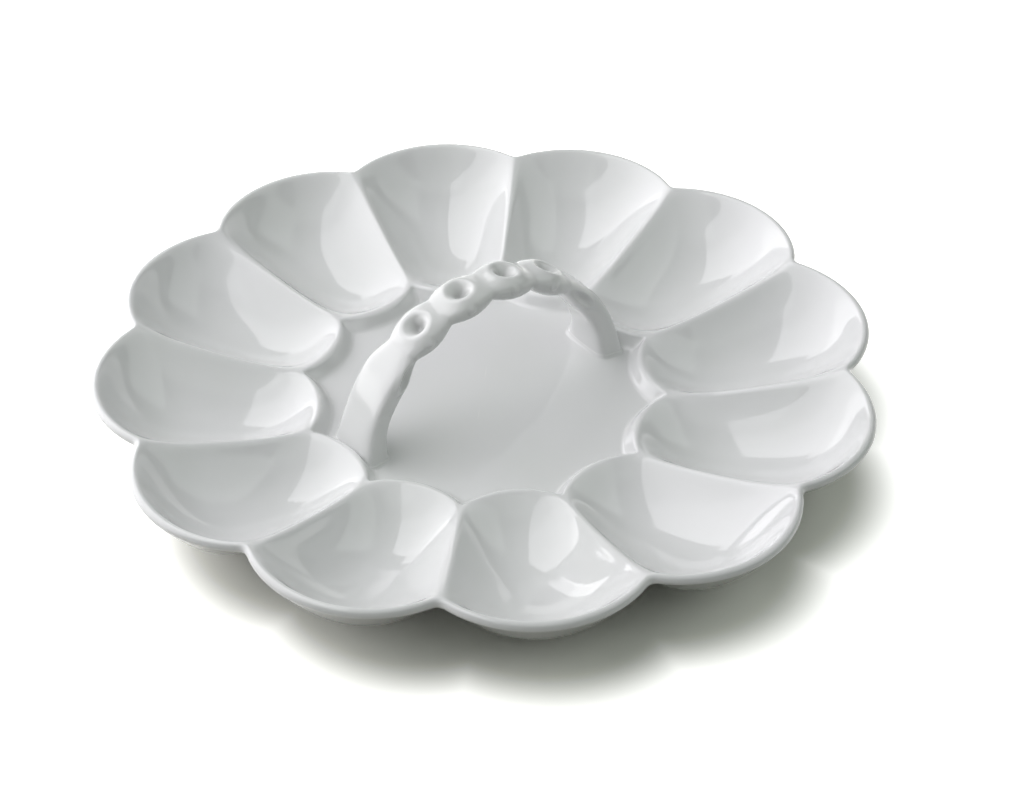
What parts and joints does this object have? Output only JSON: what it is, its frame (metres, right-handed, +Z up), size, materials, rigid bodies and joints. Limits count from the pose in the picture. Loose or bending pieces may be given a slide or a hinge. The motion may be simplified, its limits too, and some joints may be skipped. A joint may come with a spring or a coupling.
{
  "type": "deviled egg platter",
  "caption": "Round white porcelain platter with egg wells around a flat dish, a lobed rim and a beaded arch handle for carrying.",
  "frame": {"origin": "centre of the platter on the surface that it stands on", "axes": "+Z up, +X along the middle line of two opposite wells, close to the handle's length, +Y across the handle"},
  "size_m": [0.2924, 0.2924, 0.0662],
  "materials": {
    "white_glaze": "glossy",
    "handle_glaze": "glossy",
    "bare_porcelain": "matte"
  },
  "bodies": {
    "root": {"platter_body": "white_glaze", "foot_ring": "bare_porcelain", "handle": "handle_glaze", "left_slip_joint": "handle_glaze", "right_slip_joint": "handle_glaze"}
  },
  "joints": []
}
